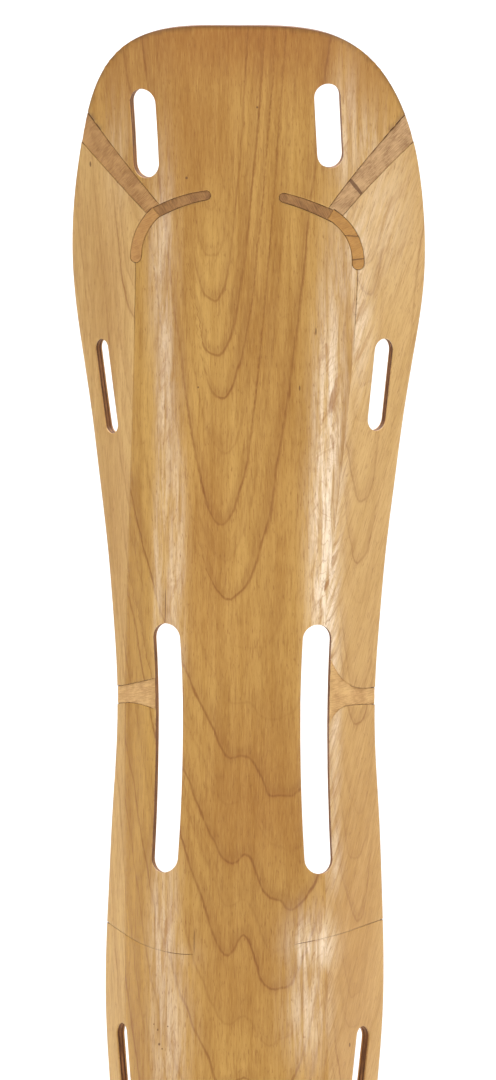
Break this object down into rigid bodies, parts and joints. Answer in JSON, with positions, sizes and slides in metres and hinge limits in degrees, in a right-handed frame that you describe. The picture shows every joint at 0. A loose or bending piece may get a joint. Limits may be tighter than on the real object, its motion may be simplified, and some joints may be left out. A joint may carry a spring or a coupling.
{
  "type": "moulded plywood leg splint",
  "caption": "Upright moulded plywood leg splint: a veneered trough with strap slots, glued darts, an open heel and a rounded foot end.",
  "frame": {"origin": "middle of the overall box at the foot end: z = 0 at the lowest point of the foot end, x = 0 and y = 0 in the middle of the overall width and depth", "axes": "+Z along the splint from the foot end to the thigh end, -Y the convex side that faces away from the leg, +X across"},
  "size_m": [0.1966, 0.104, 1.0677],
  "materials": {
    "outer_veneer": "oiled birch face veneer, satin",
    "filler_veneer": "glue-stained birch strip, matt",
    "crossband_veneer": "birch crossband, matt",
    "core_veneer": "birch core veneer, matt",
    "inner_veneer": "oiled birch face veneer, satin"
  },
  "bodies": {
    "root": {"outer_face_centre": "outer_veneer", "outer_flank_thigh_left": "outer_veneer", "outer_flank_thigh_right": "outer_veneer", "outer_flank_knee_left": "outer_veneer", "outer_flank_knee_right": "outer_veneer", "outer_flank_calf_left": "outer_veneer", "outer_flank_calf_right": "outer_veneer", "thigh_dart_stem_left": "filler_veneer", "thigh_dart_stem_right": "filler_veneer", "thigh_dart_inner_arm_left": "filler_veneer", "thigh_dart_inner_arm_right": "filler_veneer", "thigh_dart_outer_arm_left": "filler_veneer", "thigh_dart_outer_arm_right": "filler_veneer", "knee_dart_filler_left": "filler_veneer", "knee_dart_filler_right": "filler_veneer", "outer_crossband_thigh": "crossband_veneer", "outer_crossband_knee": "crossband_veneer", "outer_crossband_calf": "crossband_veneer", "outer_crossband_foot": "crossband_veneer", "inner_crossband_thigh": "crossband_veneer", "inner_crossband_knee": "crossband_veneer", "inner_crossband_calf": "crossband_veneer", "inner_crossband_foot": "crossband_veneer", "core_left": "core_veneer", "core_centre": "core_veneer", "core_right": "core_veneer", "inner_face_left": "inner_veneer", "inner_face_centre": "inner_veneer", "inner_face_right": "inner_veneer"}
  },
  "joints": []
}
